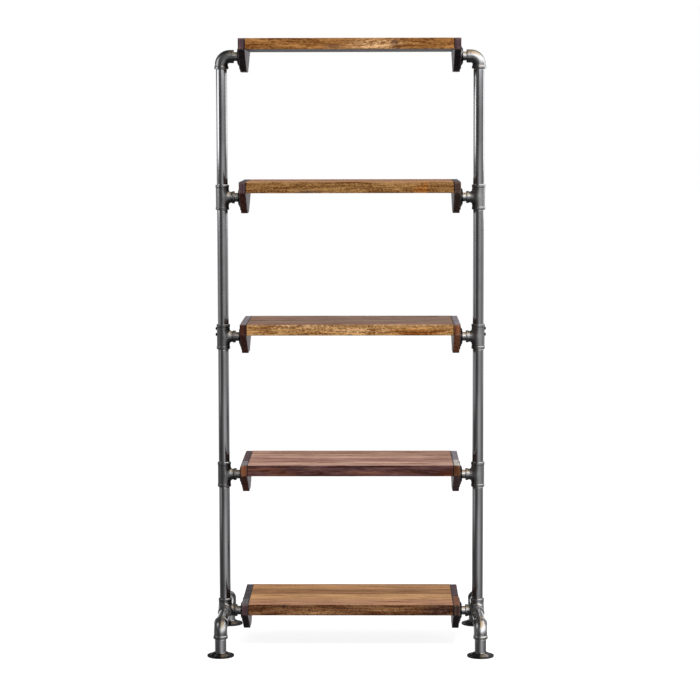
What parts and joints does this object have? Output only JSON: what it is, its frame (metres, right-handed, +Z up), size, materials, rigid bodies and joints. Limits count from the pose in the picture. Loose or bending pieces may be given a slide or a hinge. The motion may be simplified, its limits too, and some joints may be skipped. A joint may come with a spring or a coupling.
{
  "type": "etagere",
  "caption": "Open etagere: wooden shelves hung between two uprights of threaded iron pipe and fittings, standing on flanged pipe feet.",
  "frame": {"origin": "on the floor, midway between the four feet", "axes": "+Z up; +X along the shelves to the right as seen from the front; +Y from the front to the back"},
  "size_m": [0.853, 0.506, 1.829],
  "materials": {
    "shelf_wood": "satin clear coat over edge-glued walnut-brown staves of differing tone",
    "end_plate_wood": "dark satin stain with worn edges",
    "dowel_wood": "plain, unseen",
    "pipe_steel": "dark polished steel",
    "nipple_steel": "dark polished steel",
    "fitting_iron": "black iron, oiled and semi-gloss",
    "flange_iron": "black iron, semi-gloss",
    "screw_steel": "blackened"
  },
  "bodies": {
    "root": {"end_plate_dowels": "dowel_wood", "flange_screws": "screw_steel", "foot_nipples": "nipple_steel", "left_front_base_rail": "pipe_steel", "left_front_foot_elbow": "fitting_iron", "left_front_foot_flange": "flange_iron", "left_rear_base_rail": "pipe_steel", "left_rear_foot_elbow": "fitting_iron", "left_rear_foot_flange": "flange_iron", "left_upright_2_to_1": "pipe_steel", "left_upright_3_to_2": "pipe_steel", "left_upright_4_to_3": "pipe_steel", "left_upright_5_to_4": "pipe_steel", "right_front_base_rail": "pipe_steel", "right_front_foot_elbow": "fitting_iron", "right_front_foot_flange": "flange_iron", "right_rear_base_rail": "pipe_steel", "right_rear_foot_elbow": "fitting_iron", "right_rear_foot_flange": "flange_iron", "right_upright_2_to_1": "pipe_steel", "right_upright_3_to_2": "pipe_steel", "right_upright_4_to_3": "pipe_steel", "right_upright_5_to_4": "pipe_steel", "shelf_1_board": "shelf_wood", "shelf_1_left_elbow": "fitting_iron", "shelf_1_left_end_plate": "end_plate_wood", "shelf_1_left_flange": "flange_iron", "shelf_1_right_elbow": "fitting_iron", "shelf_1_right_end_plate": "end_plate_wood", "shelf_1_right_flange": "flange_iron", "shelf_2_board": "shelf_wood", "shelf_2_left_end_plate": "end_plate_wood", "shelf_2_left_flange": "flange_iron", "shelf_2_left_tee": "fitting_iron", "shelf_2_right_end_plate": "end_plate_wood", "shelf_2_right_flange": "flange_iron", "shelf_2_right_tee": "fitting_iron", "shelf_3_board": "shelf_wood", "shelf_3_left_end_plate": "end_plate_wood", "shelf_3_left_flange": "flange_iron", "shelf_3_left_slip_tee": "fitting_iron", "shelf_3_right_end_plate": "end_plate_wood", "shelf_3_right_flange": "flange_iron", "shelf_3_right_slip_tee": "fitting_iron", "shelf_4_board": "shelf_wood", "shelf_4_left_end_plate": "end_plate_wood", "shelf_4_left_flange": "flange_iron", "shelf_4_left_tee": "fitting_iron", "shelf_4_right_end_plate": "end_plate_wood", "shelf_4_right_flange": "flange_iron", "shelf_4_right_tee": "fitting_iron", "shelf_5_board": "shelf_wood", "shelf_5_left_base_fitting": "fitting_iron", "shelf_5_left_end_plate": "end_plate_wood", "shelf_5_left_flange": "flange_iron", "shelf_5_right_base_fitting": "fitting_iron", "shelf_5_right_end_plate": "end_plate_wood", "shelf_5_right_flange": "flange_iron", "shelf_nipples": "nipple_steel", "slip_joint_screws": "screw_steel"}
  },
  "joints": []
}
